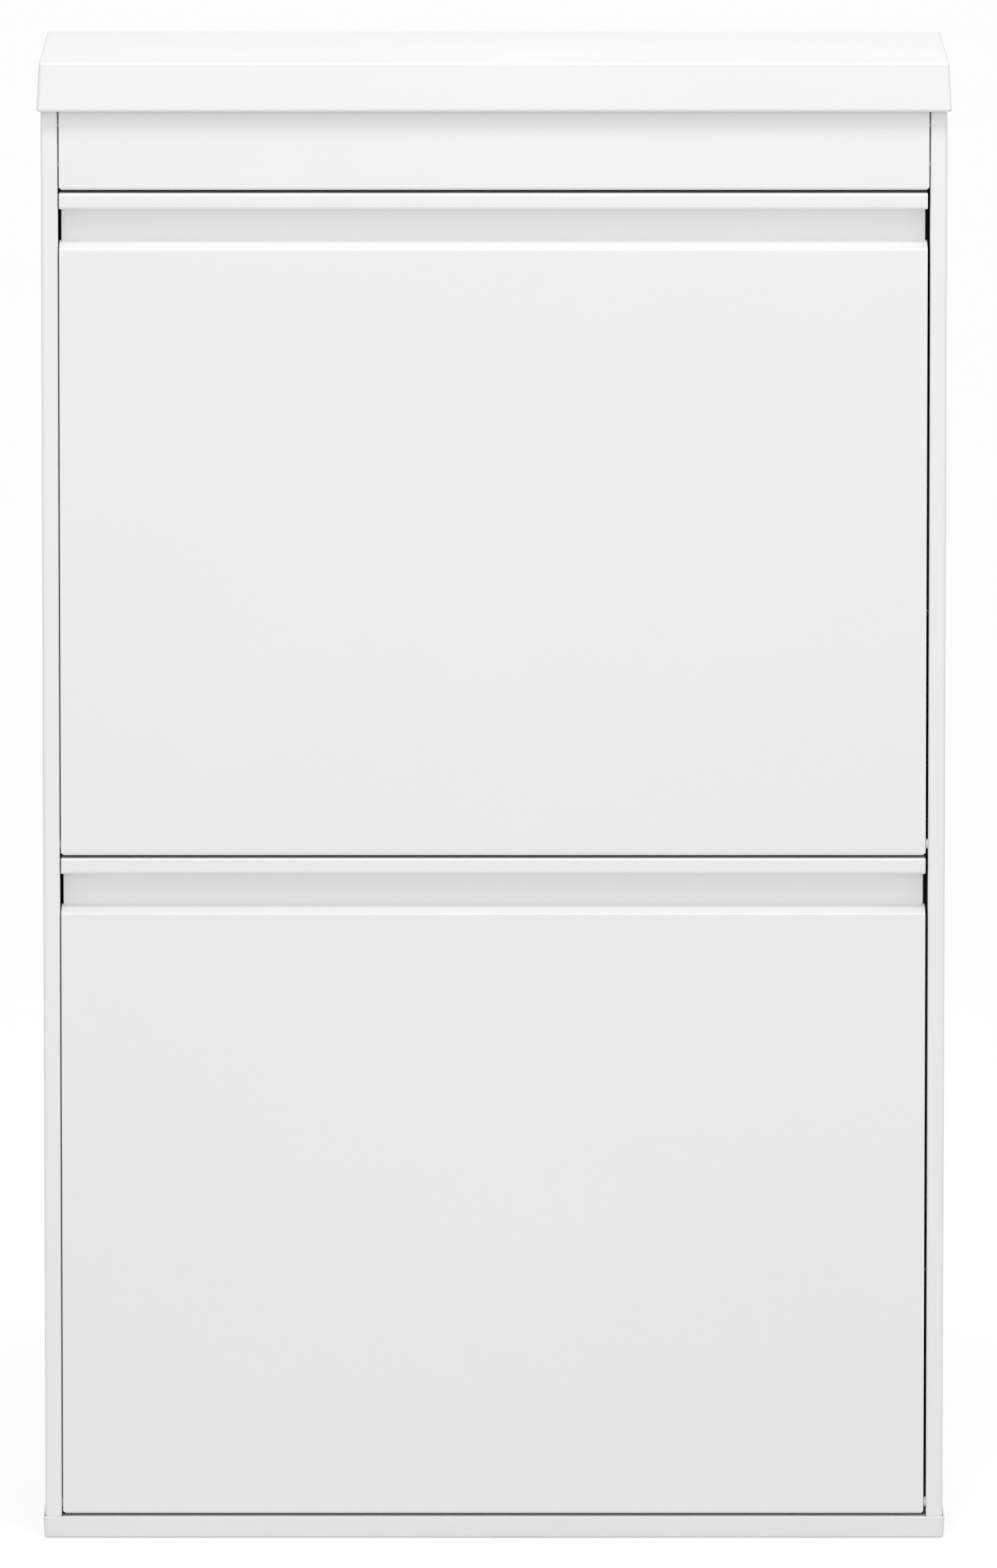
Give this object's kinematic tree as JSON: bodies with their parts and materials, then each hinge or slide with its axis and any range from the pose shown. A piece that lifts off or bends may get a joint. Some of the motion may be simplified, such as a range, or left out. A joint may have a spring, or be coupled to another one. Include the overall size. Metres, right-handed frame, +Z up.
{
  "type": "shoe cabinet",
  "caption": "Slim shoe cabinet in folded white sheet steel with tilt-out bins, full-width finger grips, and a moulded cap and base.",
  "frame": {"origin": "on the floor, under the middle of the cabinet's overall box", "axes": "+Z up, +X across the width, the fronts face -Y and the wall side is +Y"},
  "size_m": [0.5078, 0.1799, 0.8325],
  "materials": {
    "white_steel": "satin white powder coat",
    "white_rear_steel": "thin white coat on rear sheet",
    "white_rod": "white powder coated rod",
    "white_moulding": "satin moulded plastic",
    "zinc_steel": "bright zinc plate",
    "natural_nylon": "natural nylon",
    "grey_rubber": "soft matt rubber"
  },
  "bodies": {
    "cabinet": {"top_cap": "white_moulding", "base_tray": "white_moulding", "back_panel": "white_rear_steel", "fascia_panel": "white_steel", "wall_fixing_rail": "white_rear_steel", "middle_rear_rail": "white_rear_steel", "left_side_panel": "white_steel", "right_side_panel": "white_steel", "foot_pads": "grey_rubber", "cap_screws": "zinc_steel", "base_screws": "zinc_steel", "rear_screws": "zinc_steel", "fascia_screws": "zinc_steel", "upper_stop_studs": "zinc_steel", "lower_stop_studs": "zinc_steel", "lower_left_pivot_bush": "natural_nylon", "lower_right_pivot_bush": "natural_nylon", "upper_left_pivot_bush": "natural_nylon", "upper_right_pivot_bush": "natural_nylon"},
    "upper_bin": {"upper_front_panel": "white_steel", "upper_left_cheek": "white_steel", "upper_right_cheek": "white_steel", "upper_shoe_tray": "white_steel", "upper_low_retaining_rod": "white_rod", "upper_high_retaining_rod": "white_rod", "upper_pivot_pins": "zinc_steel", "upper_tray_screws": "zinc_steel"},
    "lower_bin": {"lower_front_panel": "white_steel", "lower_left_cheek": "white_steel", "lower_right_cheek": "white_steel", "lower_shoe_tray": "white_steel", "lower_low_retaining_rod": "white_rod", "lower_high_retaining_rod": "white_rod", "lower_pivot_pins": "zinc_steel", "lower_tray_screws": "zinc_steel"}
  },
  "joints": [
    {"name": "upper_bin_tilt", "type": "hinge", "parent": "cabinet", "child": "upper_bin", "pos_m": [-0.0004, -0.079, 0.3934], "axis": [1, 0, 0], "range_deg": [0, 40]},
    {"name": "lower_bin_tilt", "type": "hinge", "parent": "cabinet", "child": "lower_bin", "pos_m": [-0.0004, -0.079, 0.02], "axis": [1, 0, 0], "range_deg": [0, 40]}
  ]
}
